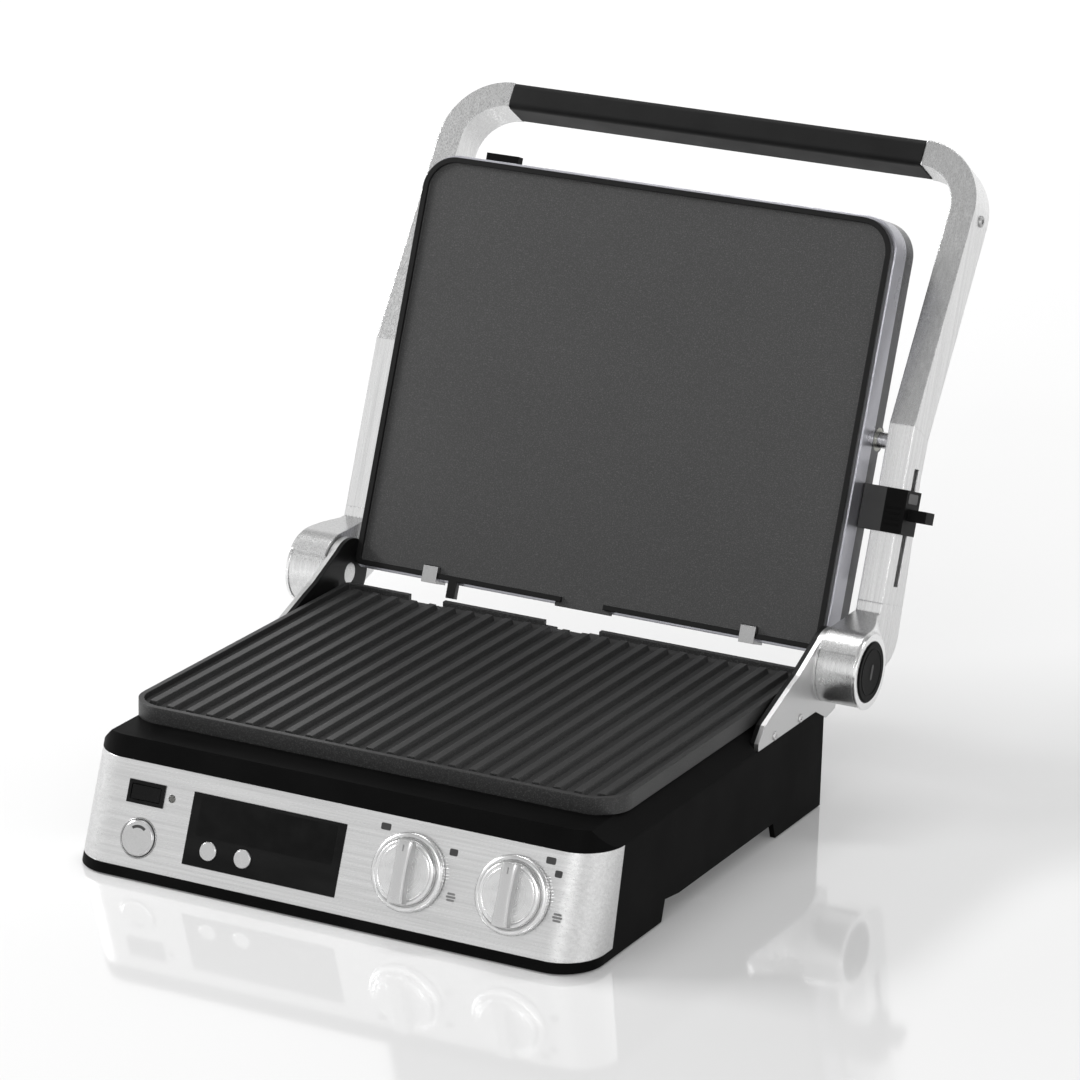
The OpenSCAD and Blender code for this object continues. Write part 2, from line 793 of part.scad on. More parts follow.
// ---------------------------------------------------------------- hinges
module hinge_bracket(right) color(silver)
    hinge_frame() side(right) difference() {
        union() {
            yz_plate(bracket_in, half_w)
                polygon([[-86, base_h], [-86, base_h + 4], [-79, base_h + 12], [-49, hinge_z + 0.5],
                         [-37, hinge_z + 4.5], [-10, hinge_z + 17], [0, hinge_z], [18, hinge_z - 1],
                         [12, 52], [rear_y, rear_step_z], [rear_step_y, base_h]]);
            translate([0, 0, hinge_z]) x_rod(bracket_in, boss_x_out, barrel_r);
        }
        translate([0, 0, hinge_z]) x_rod(bracket_in - past, boss_x_out + past, hinge_pin_r);
        for (y = [-66, -34]) translate([0, y, base_h + 2.6]) x_rod(bracket_in - past, half_w + past, screw_r);
    }

module hinge_bracket_left() hinge_bracket(false);
module hinge_bracket_right() hinge_bracket(true);

module bracket_screws() color("#8f8f8f")
    hinge_frame() bracket_screw_places() {
        x_rod(bracket_in - 10, half_w, screw_r);
        x_rod(half_w, half_w + 0.9, 3.2);
    }

module hinge_pin(right) color("#a9a9a9")
    hinge_frame() side(right) translate([0, 0, hinge_z]) x_rod(bracket_in, pin_end, hinge_pin_r);

module hinge_pin_left() hinge_pin(false);
module hinge_pin_right() hinge_pin(true);

module hinge_bush(right) color("#b5893a")
    arm_frame() side(right) difference() {
        x_rod(arm_in, pin_end, bush_r);
        x_rod(arm_in - past, pin_end + past, hinge_pin_r + run);
    }

module hinge_bush_left() hinge_bush(false);
module hinge_bush_right() hinge_bush(true);

// Elbow outline in the arm frame: the hood over the barrel, the heel and the arm's foot
module elbow_outline() {
    hood_r = barrel_r + hood_t;
    normal = atan2(heel[1], heel[0]) - acos((hood_r - heel_r) / norm(heel));
    foot = [cos(normal), sin(normal)];
    difference() {
        circle(r = hood_r);
        polygon(concat([[0, 0]], [for (a = [hood_to:50:hood_from + 360]) 2 * hood_r * [cos(a), sin(a)]]));
    }
    translate(heel) circle(r = heel_r);
    polygon([
        hood_r * [cos(90 + lid_tilt), sin(90 + lid_tilt)],
        [arm_front, arm_foot - 5.6],
        [arm_front, arm_foot],
        [arm_back, arm_foot],
        [heel[0] + heel_r, heel[1]],
        heel + heel_r * foot,
        hood_r * foot,
        [0, 0]
    ]);
}

module hinge_knuckle(right) color(steel)
    arm_frame() side(right) difference() {
        union() {
            yz_plate(arm_in, arm_out) elbow_outline();
            intersection() {
                yz_plate(arm_out, knuckle_out) elbow_outline();
                translate([arm_out, 0, 0]) rotate([0, 90, 0])
                    cylinder(h = knuckle_out - arm_out, r1 = barrel_r + 14, r2 = barrel_r + hood_t);
            }
            x_rod(arm_in, knuckle_out, barrel_r);
        }
        x_rod(arm_in - past, pin_end, bush_r);
        x_rod(recess_x, knuckle_out + past, button_r + slip);
    }

module hinge_knuckle_left() hinge_knuckle(false);
module hinge_knuckle_right() hinge_knuckle(true);

module hub_cap_left() color(silver)
    arm_frame() side(false) {
        x_rod(knuckle_out, hub_x, cap_r);
        difference() {
            x_rod(knuckle_out - 4, knuckle_out, button_r + slip);
            x_rod(knuckle_out - 4 - past, knuckle_out, button_r - 2);
        }
    }

module hub_cap_right() color(silver)
    arm_frame() difference() {
        x_rod(knuckle_out, hub_x, cap_r);
        x_rod(knuckle_out - past, hub_x + past, button_r + slip);
    }

module release_button() color(dark)
    arm_frame() {
        x_rod(recess_x + 3.8, hub_x + button_proud - 0.6, button_r);
        translate([hub_x + button_proud - 0.6, 0, 0]) rotate([0, 90, 0])
            cylinder(h = 0.6, r1 = button_r, r2 = button_r - 0.6);
    }

// ---------------------------------------------------------------- arms
module arm_outline() {
    k = handle_kink;
    polygon([
        [arm_front, arm_foot],
        seam,
        [seam[0] + bar_d * cos(k), seam[1] - bar_d * sin(k)],
        [44, 107],
        [49.4, 63],
        [arm_back, arm_foot]
    ]);
}

module lower_arm(right) color(steel)
    arm_frame() side(right) difference() {
        yz_plate(arm_in, arm_out) arm_outline();
        translate([0, pivot_d, pivot_a]) x_rod(arm_in - past, arm_out - 3, pivot_pin_r);
        if (right)
            block([arm_in - past, stem_d - stem_w / 2 - slip, slider_a - stem_h / 2 - slider_down - slip],
                  [arm_out + past, stem_d + stem_w / 2 + slip, slider_a + stem_h / 2 + slider_up + slip]);
    }

module lower_arm_left() lower_arm(false);
module lower_arm_right() lower_arm(true);

module lock_slider() color(dark)
    arm_frame() {
        a0 = slider_a - slider_h / 2;
        a1 = slider_a + slider_h / 2;
        front = arm_front - slip;
        // collar across the front of the arm and down its outer face
        block([bracket_in - 0.3, front - collar_t, a0], [collar_out, front, a1]);
        block([arm_out + slip, front - tick, a0], [collar_out, stem_d + stem_w / 2, a1]);
        // block between the lid and the arm
        block([bracket_in - 0.3, front - tick, a0], [arm_in - slip, stem_d + stem_w / 2, a1]);
        block([arm_in - past, stem_d - stem_w / 2, slider_a - stem_h / 2],
              [arm_out + past, stem_d + stem_w / 2, slider_a + stem_h / 2]);
        block([collar_out - past, 25, slider_a - tab_h / 2 - 1], [tab_out, 37, slider_a + tab_h / 2 - 1]);
    }

module pivot_pin(right) color("#a9a9a9")
    arm_frame() side(right) translate([0, pivot_d, pivot_a]) x_rod(pivot_in + 4, arm_out - 3, pivot_pin_r);

module pivot_pin_left() pivot_pin(false);
module pivot_pin_right() pivot_pin(true);

// Outline with two round top corners, drawn in by inset, from below the seam upwards
module bow_outline(inset, below) {
    cx = arm_out - handle_r;
    cz = handle_l - handle_r;
    translate([inset - arm_out, -below]) square([2 * (arm_out - inset), cz + below]);
    translate([-cx, -below]) square([2 * cx, handle_l - inset + below]);
    for (s = [-1, 1]) translate([s * cx, cz]) circle(r = handle_r - inset);
}

// Square core of the bar, which the grip is moulded over
module grip_core(past_ends) {
    skin = grip_t - grip_proud;
    block([-grip_l / 2 - past_ends, skin, handle_l - arm_w + skin],
          [grip_l / 2 + past_ends, bar_d - skin, handle_l - skin]);
}

module handle_frame() color(steel)
    kinked_frame() difference() {
        xz_plate(0, bar_d) difference() {
            bow_outline(0, 0);
            bow_outline(arm_w, past);
        }
        // the grip lies in a shallow waist of the bar
        difference() {
            block([-grip_l / 2, -past, handle_l - arm_w - past], [grip_l / 2, bar_d + past, handle_l + past]);
            grip_core(past);
        }
        right_and_left() translate([0, bar_d / 2 + 0.7, handle_screw_a])
            x_rod(arm_in + 4, arm_out + past, screw_r);
    }

module handle_grip() color(dark)
    kinked_frame() difference() {
        yz_plate(-grip_l / 2, grip_l / 2) grip_outline();
        grip_core(past);
    }

module grip_outline() {
    w = bar_d + 2 * grip_proud;
    h = arm_w + 2 * grip_proud;
    translate([-grip_proud, handle_l - arm_w - grip_proud]) {
        translate([grip_round, 0]) square([w - 2 * grip_round, h]);
        translate([0, grip_round]) square([w, h - 2 * grip_round]);
        for (y = [grip_round, w - grip_round], z = [grip_round, h - grip_round])
            translate([y, z]) circle(r = grip_round);
    }
}

module handle_screws() color("#9a9a9a")
    kinked_frame() right_and_left() translate([0, bar_d / 2 + 0.7, handle_screw_a]) {
        x_rod(arm_in + 4, arm_out, screw_r);
        x_rod(arm_out, arm_out + 1.2, 3.2);
    }

// ---------------------------------------------------------------- lid
module lid_frame() color(silver)
    arm_frame() difference() {
        union() {
            xz_plate(frame_front, frame_back) difference() {
                lid_outline();
                lid_outline(lid_wall);
            }
            // ledge that carries the reflector
            xz_plate(ledge_d, ledge_d + 2) difference() {
                lid_outline(1);
                cooking_outline(pan_inset - slip);
            }
            right_and_left() {
                translate([0, pivot_d, pivot_a]) x_rod(pivot_in, lid_w / 2, pivot_boss_r);
                block([pivot_in + 6, ledge_d, pivot_a - 6], [lid_w / 2 - 1, pivot_d, pivot_a + 6]);
            }
        }
        right_and_left() translate([0, pivot_d, pivot_a])
            x_rod(pivot_in - past, lid_w / 2 + past, pivot_bush_r);
        block([release_x - release_w / 2 - slip, release_d0 - slip, lid_near + lid_l - lid_wall - past],
              [release_x + release_w / 2 + slip, release_d0 + release_t + slip, lid_near + lid_l + past]);
        lid_screw_places() rotate([-90, 0, 0])
            translate([0, 0, -frame_d]) cylinder(h = frame_d + past, r = screw_r);
    }

// Rounded rear cover, as layers of the lid outline drawn in towards the back
module cover_solid(shrink, depth) {
    hull()
        for (i = [0:6]) {
            t = i / 6;
            layer = cover_inset + cover_edge * (1 - sqrt(1 - t * t)) + shrink;
            xz_plate(frame_back + depth * t, frame_back + depth * t + tick)
                lid_outline(layer, $fn = 32);
        }
}

module lid_cover() color("#4a4c50")
    arm_frame() difference() {
        union() {
            difference() {
                cover_solid(0, cover_d);
                translate([0, -tick, 0]) cover_solid(cover_wall, cover_d - cover_wall);
            }
            // tubes for the recessed screws
            intersection() {
                cover_solid(0, cover_d);
                lid_screw_places() rotate([-90, 0, 0]) cylinder(h = cover_d, r = screw_tube_r);
            }
            lid_screw_places() rotate([-90, 0, 0]) translate([0, 0, -screw_tube_l])
                cylinder(h = screw_tube_l + tick, r = screw_tube_r);
        }
        right_and_left()
            translate([0, pivot_d, pivot_a]) x_rod(pivot_in - 2, lid_w / 2 + past, pivot_boss_r + slip);
        lid_screw_places() rotate([-90, 0, 0]) {
            translate([0, 0, -screw_tube_l - past]) cylinder(h = screw_tube_l + cover_d, r = screw_r);
            translate([0, 0, lid_screw_seat]) cylinder(h = cover_d, r = lid_screw_head_r + slip);
        }
    }

module lid_screw_places()
    for (s = [-1, 1], a = [lid_near + 30, lid_near + lid_l - 34])
        translate([s * (lid_w / 2 - lid_screw_in), frame_back, a]) children();

module lid_screws() color("#8f8f8f")
    arm_frame() lid_screw_places() rotate([-90, 0, 0]) {
        translate([0, 0, -screw_reach]) cylinder(h = screw_reach + lid_screw_seat, r = screw_r);
        translate([0, 0, lid_screw_seat]) cylinder(h = 2.4, r = lid_screw_head_r);
    }

module pivot_bush(right) color("#b5893a")
    arm_frame() side(right) translate([0, pivot_d, pivot_a]) difference() {
        x_rod(pivot_in, lid_w / 2, pivot_bush_r);
        x_rod(pivot_in - past, lid_w / 2 + past, pivot_pin_r + run);
    }

module pivot_bush_left() pivot_bush(false);
module pivot_bush_right() pivot_bush(true);

module plate_clips() color("#b0b0b0")
    arm_frame()
        for (x = clip_xs) {
            block([x - clip_w / 2, -0.6, lid_near - 1.5],
                  [x + clip_w / 2, frame_front, plate_near + clip_up]);
            block([x - clip_w / 2, frame_front - tick, lid_near - 1.5],
                  [x + clip_w / 2, frame_front + 7, lid_near]);
        }

module plate_release() color(dark)
    arm_frame() {
        top = lid_near + lid_l;
        block([release_x - release_w / 2, release_d0, top - lid_wall - 6],
              [release_x + release_w / 2, release_d0 + release_t, top + release_proud]);
        block([release_x - release_w / 2 - 3, release_d0, top - lid_wall - 6],
              [release_x + release_w / 2 + 3, release_d0 + release_t, top - lid_wall - slip]);
    }

module upper_plate() color(coated)
    arm_frame() difference() {
        union() {
            xz_plate(upper_rim_d, upper_plate_d) cooking_outline();
            xz_plate(0, upper_plate_d) difference() {
                cooking_outline();
                cooking_outline(rim_w);
            }
            // spout over the drain of the lower plate
            block([-spout_w / 2, upper_rim_d, plate_near - 2.5],
                  [spout_w / 2, upper_plate_d, plate_near + 1]);
            block([lug_x - lug_w / 2, 0, plate_near - lug_l],
                  [lug_x + lug_w / 2, upper_plate_d - 0.4, plate_near + 1]);
        }
        for (x = clip_xs)
            block([x - clip_w / 2 - slip, -past, plate_near - past],
                  [x + clip_w / 2 + slip, upper_plate_d + past, plate_near + clip_up + slip]);
        block([-spout_w / 2 + 4, -past, plate_near - past],
              [spout_w / 2 - 4, upper_rim_d, plate_near + rim_w + past]);
    }

// ---------------------------------------------------------------- drawing
base_housing();
bottom_cover();
rubber_feet();
cover_screws();
top_deck();
front_fascia();
display_window();
display_module();
power_lamp();
rocker_frame();
power_rocker();
start_button();
display_button_left();
display_button_right();
control_board();
power_board();
temperature_encoder();
timer_encoder();
temperature_spindle();
timer_spindle();
temperature_knob();
timer_knob();
lower_reflector();
lower_heating_element();
lower_temp_sensor();
lower_plate();
cord_gland();
drip_tray();
hinge_bracket_left();
hinge_bracket_right();
hinge_pin_left();
hinge_pin_right();
bracket_screws();
hinge_bush_left();
hinge_bush_right();
hinge_knuckle_left();
hinge_knuckle_right();
hub_cap_left();
hub_cap_right();
release_button();
lower_arm_left();
lower_arm_right();
lock_slider();
pivot_pin_left();
pivot_pin_right();
handle_frame();
handle_grip();
handle_screws();
lid_frame();
lid_cover();
lid_screws();
pivot_bush_left();
pivot_bush_right();
upper_reflector();
upper_heating_element();
upper_temp_sensor();
plate_clips();
plate_release();
upper_plate();
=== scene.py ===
"""Finishes, print, knobs, screw heads and studio of an electric indoor grill with its lid open."""

import math

import bmesh
import bpy
from mathutils import Matrix, Vector


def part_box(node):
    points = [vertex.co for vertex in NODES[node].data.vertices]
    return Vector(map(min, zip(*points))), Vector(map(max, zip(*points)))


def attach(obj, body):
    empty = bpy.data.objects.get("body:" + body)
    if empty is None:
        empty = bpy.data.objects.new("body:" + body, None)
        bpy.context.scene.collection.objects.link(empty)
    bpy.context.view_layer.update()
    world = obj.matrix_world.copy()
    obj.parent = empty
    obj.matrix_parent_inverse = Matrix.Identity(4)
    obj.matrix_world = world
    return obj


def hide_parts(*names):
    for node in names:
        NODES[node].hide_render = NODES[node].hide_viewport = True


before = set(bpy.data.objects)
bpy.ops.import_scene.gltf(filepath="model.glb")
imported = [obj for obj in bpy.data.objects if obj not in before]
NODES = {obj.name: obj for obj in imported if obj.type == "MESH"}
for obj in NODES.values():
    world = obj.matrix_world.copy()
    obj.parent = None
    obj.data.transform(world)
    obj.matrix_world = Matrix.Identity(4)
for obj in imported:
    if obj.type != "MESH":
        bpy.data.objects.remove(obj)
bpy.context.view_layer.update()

MM = 0.001
LEAN = math.radians(20)       # of the fascia
TILT = math.radians(19.5)     # of the arms and the lid
KINK = math.radians(13.9)     # of the handle on the arms

# Places on the part in mm: X from the middle, UP along the fascia, DEPTH and ALONG in the arm frame
FASCIA_FOOT = (-284.5, -74.5)          # Y and Z from the hinge
BOW_START = (21.4, 134.3)              # depth and along at the kink
ARM_OUT = 166.0                        # X of the arms' outer faces
BUTTON_X = 175.3                       # outer face of the release button
COLLAR_X = 170
RIBS_X, RIBS_DEPTH = 163.5, 18.95
# painted highlight: where the grey patch on the lock slider's outer face lies
HIGHLIGHT_DEPTH, HIGHLIGHT_ALONG = 28, 95.2
KNOB_XS = (46.5, 105.5)
KNOB_UP = 28.6
SKIRT_R, KNURL_DEPTH, KNURLS = 20.3, 0.28, 80
BAR_R = 16.3
START_X, START_UP = -110.2, 16
WINDOW_X, WINDOW_UP = -37.6, 33.8
HANDLE_SCREW_DEPTH, HANDLE_SCREW_ALONG = 12.7, 124
BRACKET_X = 150
BRACKET_SCREW_YS, BRACKET_SCREW_Z = (-66, -34), -20.2

# Where pieces change colour, in metres, and where the lid frame's painted shade starts; SOFT is the
# smallest half width of the change
SOFT = 0.0001
BRACKET_SPLIT = 0.1474
PLATE_RIM = 0.0016
# painted shade: depth past which the lid frame's side wall is painted dark, for the arms' shade on it
LID_SHADE_DEPTH = 0.0204
SLIDER_SPLIT = 0.1578

LAMP_WIDTH, CAMERA_DISTANCE = 0.25, 2.5502     # metres
CAMERA_AIM = (35.85, -120.03, 83.16)           # mm from the hinge


def middle(node):
    low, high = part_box(node)
    return (low + high) / 2


HINGE = Vector((0, middle("hinge_pin_right").y, middle("hinge_pin_right").z))


# ------------------------------------------------------------------ places on the part, in mm
def fascia(x, up, out=0.0):
    """Frame on the leaning front: X across, Y up the slope, Z out of it."""
    s, c = math.sin(LEAN), math.cos(LEAN)
    y, z = FASCIA_FOOT
    origin = HINGE + Vector((x, y + up * s - out * c, z + up * c + out * s)) * MM
    turn = Matrix(((1, 0, 0), (0, s, -c), (0, c, s)))
    return Matrix.Translation(origin) @ turn.to_4x4() @ Matrix.Scale(MM, 4)


def leaning(origin, angle, x, depth, along):
    """Frame that lies x, depth and along mm from origin, all turned back by angle."""
    s, c = math.sin(angle), math.cos(angle)
    turn = Matrix(((1, 0, 0), (0, c, s), (0, -s, c))).to_4x4()
    return Matrix.Translation(origin) @ turn @ Matrix.Translation(Vector((x, depth, along)) * MM) @ \
        Matrix.Scale(MM, 4)


def arm(x, depth, along):
    """Frame of the arms and the lid: X across, Y to the rear, Z along them from the hinge."""
    return leaning(HINGE, TILT, x, depth, along)


def bow(x, depth, along):
    """Frame of the handle above its kink."""
    start = arm(0, *BOW_START).to_translation()
    return leaning(start, TILT + KINK, x, depth, along)


# ------------------------------------------------------------------ node helpers
def new_material(name, colour, rough, metal=0.0, level=0.5):
    made = bpy.data.materials.new(name)
    made.use_nodes = True
    shader = made.node_tree.nodes["Principled BSDF"]
    shader.inputs["Base Color"].default_value = (*colour, 1)
    shader.inputs["Roughness"].default_value = rough
    shader.inputs["Metallic"].default_value = metal
    shader.inputs["Specular IOR Level"].default_value = level
    return made


def shader_of(made):
    return made.node_tree.nodes["Principled BSDF"]


def noise(made, size, detail=3.0, turn=0.0):
    """Noise whose spots measure size (x, y, z) in metres, in a frame turned about X."""
    tree = made.node_tree
    coords = tree.nodes.new("ShaderNodeTexCoord")
    place = tree.nodes.new("ShaderNodeMapping")
    place.vector_type = "TEXTURE"
    place.inputs["Rotation"].default_value = (turn, 0, 0)
    place.inputs["Scale"].default_value = size
    spots = tree.nodes.new("ShaderNodeTexNoise")
    spots.inputs["Scale"].default_value = 1.0
    spots.inputs["Detail"].default_value = detail
    tree.links.new(coords.outputs["Object"], place.inputs["Vector"])
    tree.links.new(place.outputs["Vector"], spots.inputs["Vector"])
    return spots.outputs["Fac"]


def spun(made, pitch):
    """Turning marks: noise that changes only with the distance from the piece's own Z axis."""
    tree = made.node_tree
    coords = tree.nodes.new("ShaderNodeTexCoord")
    flat = tree.nodes.new("ShaderNodeVectorMath")
    flat.operation = "MULTIPLY"
    flat.inputs[1].default_value = (1, 1, 0)
    reach = tree.nodes.new("ShaderNodeVectorMath")
    reach.operation = "LENGTH"
    spots = tree.nodes.new("ShaderNodeTexNoise")
    spots.noise_dimensions = "1D"
    spots.inputs["Scale"].default_value = 1 / pitch
    spots.inputs["Detail"].default_value = 2
    tree.links.new(coords.outputs["Object"], flat.inputs[0])
    tree.links.new(flat.outputs["Vector"], reach.inputs[0])
    tree.links.new(reach.outputs["Value"], spots.inputs["W"])
    return spots.outputs["Fac"]


def remap(made, value, low, high, start=0.3, end=0.7):
    tree = made.node_tree
    node = tree.nodes.new("ShaderNodeMapRange")
    node.inputs["From Min"].default_value = start
    node.inputs["From Max"].default_value = end
    node.inputs["To Min"].default_value = low
    node.inputs["To Max"].default_value = high
    tree.links.new(value, node.inputs["Value"])
    return node.outputs["Result"]


def tint(made, value, dark, light, start=0.3, end=0.7):
    """Base colour that runs from dark to light with value."""
    tree = made.node_tree
    ramp = tree.nodes.new("ShaderNodeValToRGB")
    ramp.color_ramp.elements[0].position = start
    ramp.color_ramp.elements[0].color = (*dark, 1)
    ramp.color_ramp.elements[1].position = end
    ramp.color_ramp.elements[1].color = (*light, 1)
    tree.links.new(value, ramp.inputs["Fac"])
    tree.links.new(ramp.outputs["Color"], shader_of(made).inputs["Base Color"])
    return ramp.outputs["Color"]


def vary_roughness(made, value, low, high):
    made.node_tree.links.new(remap(made, value, low, high), shader_of(made).inputs["Roughness"])


def relief(made, heights, edge=0.0):
    """Bumps of (value, depth in metres, strength), over edges that are rounded by edge metres."""
    tree = made.node_tree
    normal = None
    if edge:
        rounded = tree.nodes.new("ShaderNodeBevel")
        rounded.samples = 4
        rounded.inputs["Radius"].default_value = edge
        normal = rounded.outputs["Normal"]
    for value, depth, strength in heights:
        bump = tree.nodes.new("ShaderNodeBump")
        bump.inputs["Distance"].default_value = depth
        bump.inputs["Strength"].default_value = strength
        tree.links.new(value, bump.inputs["Height"])
        if normal is not None:
            tree.links.new(normal, bump.inputs["Normal"])
        normal = bump.outputs["Normal"]
    tree.links.new(normal, shader_of(made).inputs["Normal"])


def beyond(made, normal, start, end):
    """0 to 1 while the distance from the node's origin along normal goes from start to end metres."""
    tree = made.node_tree
    coords = tree.nodes.new("ShaderNodeTexCoord")
    along = tree.nodes.new("ShaderNodeVectorMath")
    along.operation = "DOT_PRODUCT"
    along.inputs[1].default_value = normal
    tree.links.new(coords.outputs["Object"], along.inputs[0])
    return remap(made, along.outputs["Value"], 0.0, 1.0, start, end)


def blend(made, mask, under, over):
    """Base colour that goes from under to over with mask; each is a colour or a socket."""
    tree = made.node_tree
    mix = tree.nodes.new("ShaderNodeMix")
    mix.data_type = "RGBA"
    tree.links.new(mask, mix.inputs["Factor"])
    for side, colour in (("A", under), ("B", over)):
        socket_in = next(i for i in mix.inputs if i.name == side and i.type == "RGBA")
        if isinstance(colour, tuple):
            socket_in.default_value = (*colour, 1)
        else:
            tree.links.new(colour, socket_in)
    out = next(o for o in mix.outputs if o.type == "RGBA")
    tree.links.new(out, shader_of(made).inputs["Base Color"])


def steer(made, mask, socket, low, high):
    """Lets mask take a shader value from low to high."""
    made.node_tree.links.new(remap(made, mask, low, high, 0, 1), shader_of(made).inputs[socket])


def base_colour(made):
    return shader_of(made).inputs["Base Color"].links[0].from_socket


def arm_depth(node):
    """Rearward normal of the arm frame, and how far along it the hinge lies from the node's origin."""
    normal = Vector((0, math.cos(TILT), -math.sin(TILT)))
    return normal, (HINGE - NODES[node].matrix_world.to_translation()).dot(normal)


def grey(value, blue=0.0):
    return (value, value, value + blue)


# ------------------------------------------------------------------ finishes
def brushed(name, light, streak, fine, rough, turn=0.0, edge=0.0006):
    """Brushed metal: streak and fine are the sizes of the wide and the narrow brush marks."""
    made = new_material(name, grey(light), rough, 1.0)
    wide = noise(made, streak, 2, turn)
    narrow = noise(made, fine, 3, turn)
    tint(made, wide, grey(light * 0.9), grey(light * 1.05))
    vary_roughness(made, narrow, rough - 0.07, rough + 0.09)
    relief(made, [(narrow, 0.00003, 0.2), (wide, 0.0001, 0.08)], edge)
    return made


def moulded(name, colour, rough, level, spot=0.0004, depth=0.00005, edge=0.0006):
    """Moulded plastic or rubber: a fine spark-eroded grain, slightly uneven in colour and gloss."""
    made = new_material(name, colour, rough, 0.0, level)
    cloud = noise(made, (0.03, 0.03, 0.03), 4)
    grain = noise(made, (spot, spot, spot), 2)
    tint(made, cloud, tuple(v * 0.8 for v in colour), tuple(v * 1.25 for v in colour))
    vary_roughness(made, cloud, rough - 0.05, rough + 0.06)
    relief(made, [(grain, depth, 0.4)], edge)
    return made


def coated(name, dark, light, rough, level, edge=0.0008):
    """Non-stick coating with fine pale flecks and a faint orange-peel surface."""
    made = new_material(name, dark, rough, 0.0, level)
    fleck = noise(made, (0.0005, 0.0005, 0.0005), 2)
    peel = noise(made, (0.0014, 0.0014, 0.0014), 2)
    cloud = noise(made, (0.05, 0.05, 0.05), 3)
    tint(made, fleck, dark, light, 0.5, 0.78)
    vary_roughness(made, cloud, rough - 0.04, rough + 0.05)
    relief(made, [(fleck, 0.00003, 0.3), (peel, 0.00006, 0.3)], edge)
    return made


def painted(name, light, blue, rough, metal, edge=0.0006):
    """Silver paint: fine flakes under a satin coat."""
    made = new_material(name, grey(light, blue), rough, metal)
    flake = noise(made, (0.0003, 0.0003, 0.0003), 1)
    cloud = noise(made, (0.04, 0.04, 0.04), 3)
    tint(made, flake, grey(light * 0.85, blue), grey(light * 1.12, blue))
    vary_roughness(made, cloud, rough - 0.04, rough + 0.04)
    relief(made, [(flake, 0.00002, 0.25)], edge)
    return made


def turned_metal(name, light, pitch, rough):
    """Metal with turning marks round the piece's own axis."""
    made = new_material(name, grey(light), rough, 1.0)
    marks = spun(made, pitch)
    cloud = noise(made, (0.006, 0.006, 0.006), 2)
    tint(made, cloud, grey(light * 0.92), grey(light * 1.05))
    vary_roughness(made, marks, rough - 0.08, rough + 0.08)
    relief(made, [(marks, 0.00005, 0.5)], 0.0004)
    return made


def clear_lens(name, colour):
    made = new_material(name, colour, 0.2, 0.0, 0.5)
    shader = shader_of(made)
    shader.inputs["Coat Weight"].default_value = 0.6
    cloud = noise(made, (0.001, 0.001, 0.001), 2)
    tint(made, cloud, tuple(v * 0.8 for v in colour), colour)
    relief(made, [(cloud, 0.00002, 0.2)], 0.0003)
    return made


def board(name):
    made = new_material(name, (0.02, 0.12, 0.05), 0.4)
    tracks = noise(made, (0.004, 0.0012, 0.002), 1)
    tint(made, tracks, (0.015, 0.09, 0.035), (0.04, 0.2, 0.09), 0.48, 0.52)
    vary_roughness(made, tracks, 0.35, 0.5)
    relief(made, [(tracks, 0.00004, 0.4)])
    return made


def window_finish(name):
    """Gloss black panel: nearly smooth, with faint wipe marks."""
    made = new_material(name, grey(0.009), 0.14, 0.0, 0.06)
    wipe = noise(made, (0.04, 0.01, 0.01), 4)
    tint(made, wipe, grey(0.008), grey(0.014))
    vary_roughness(made, wipe, 0.09, 0.18)
    relief(made, [(wipe, 0.00002, 0.1)], 0.0003)
    return made


FINISHES = {
    "housing_black": moulded("housing_black", grey(0.005), 0.5, 0.02),
    "deck_black": moulded("deck_black", grey(0.004), 0.45, 0.03),
    "fascia_steel": brushed("fascia_steel", 0.63, (0.09, 0.0013, 0.0013), (0.02, 0.0003, 0.0003), 0.3),
    "window_black": window_finish("window_black"),
    "rubber_black": moulded("rubber_black", grey(0.02), 0.75, 0.2, 0.0006, 0.0001),
    "screw_steel": brushed("screw_steel", 0.45, (0.004, 0.004, 0.004), (0.0005, 0.0005, 0.0005), 0.35),
    "circuit_board": board("circuit_board"),
    "encoder_metal": brushed("encoder_metal", 0.35, (0.02, 0.002, 0.002), (0.004, 0.0004, 0.0004), 0.35),
    "spindle_brass": painted("spindle_brass", 0.5, -0.15, 0.3, 1.0),
    "knob_metal": turned_metal("knob_metal", 0.66, 0.0004, 0.3),
    "button_metal": painted("button_metal", 0.55, 0.0, 0.3, 0.9, 0.0005),
    "rocker_black": moulded("rocker_black", grey(0.007), 0.35, 0.08, 0.0005, 0.00003, 0.0004),
    "lamp_lens": clear_lens("lamp_lens", (0.12, 0.12, 0.11)),
    "reflector_metal": brushed("reflector_metal", 0.6, (0.03, 0.03, 0.03), (0.001, 0.001, 0.001), 0.3),
    "element_metal": moulded("element_metal", grey(0.16), 0.5, 0.4, 0.0005, 0.0001),
    "plate_coating": coated("plate_coating", grey(0.028), grey(0.1), 0.44, 0.36),
    "tray_black": moulded("tray_black", grey(0.02), 0.45, 0.25),
    "bracket_metal": painted("bracket_metal", 0.62, 0.0, 0.33, 0.95),
    "pin_steel": brushed("pin_steel", 0.6, (0.0006, 0.02, 0.02), (0.0002, 0.01, 0.01), 0.25),
    "bush_brass": painted("bush_brass", 0.45, -0.04, 0.4, 1.0),
    "arm_metal": brushed("arm_metal", 0.72, (0.0016, 0.0016, 0.12), (0.0003, 0.0003, 0.02), 0.27,
                         -TILT, 0.0008),
    "cap_metal": brushed("cap_metal", 0.9, (0.0007, 0.05, 0.05), (0.0002, 0.02, 0.02), 0.2),
    "button_black": moulded("button_black", grey(0.006), 0.42, 0.04, 0.0005, 0.00004),
    "grip_black": moulded("grip_black", grey(0.009), 0.5, 0.15, 0.0007, 0.00009, 0.001),
    "lid_silver": painted("lid_silver", 0.5, 0.04, 0.3, 0.9, 0.0012),
    "lid_back": painted("lid_back", 0.06, 0.004, 0.4, 0.4, 0.001),
    "clip_metal": painted("clip_metal", 0.42, 0.0, 0.35, 0.9, 0.0004),
}
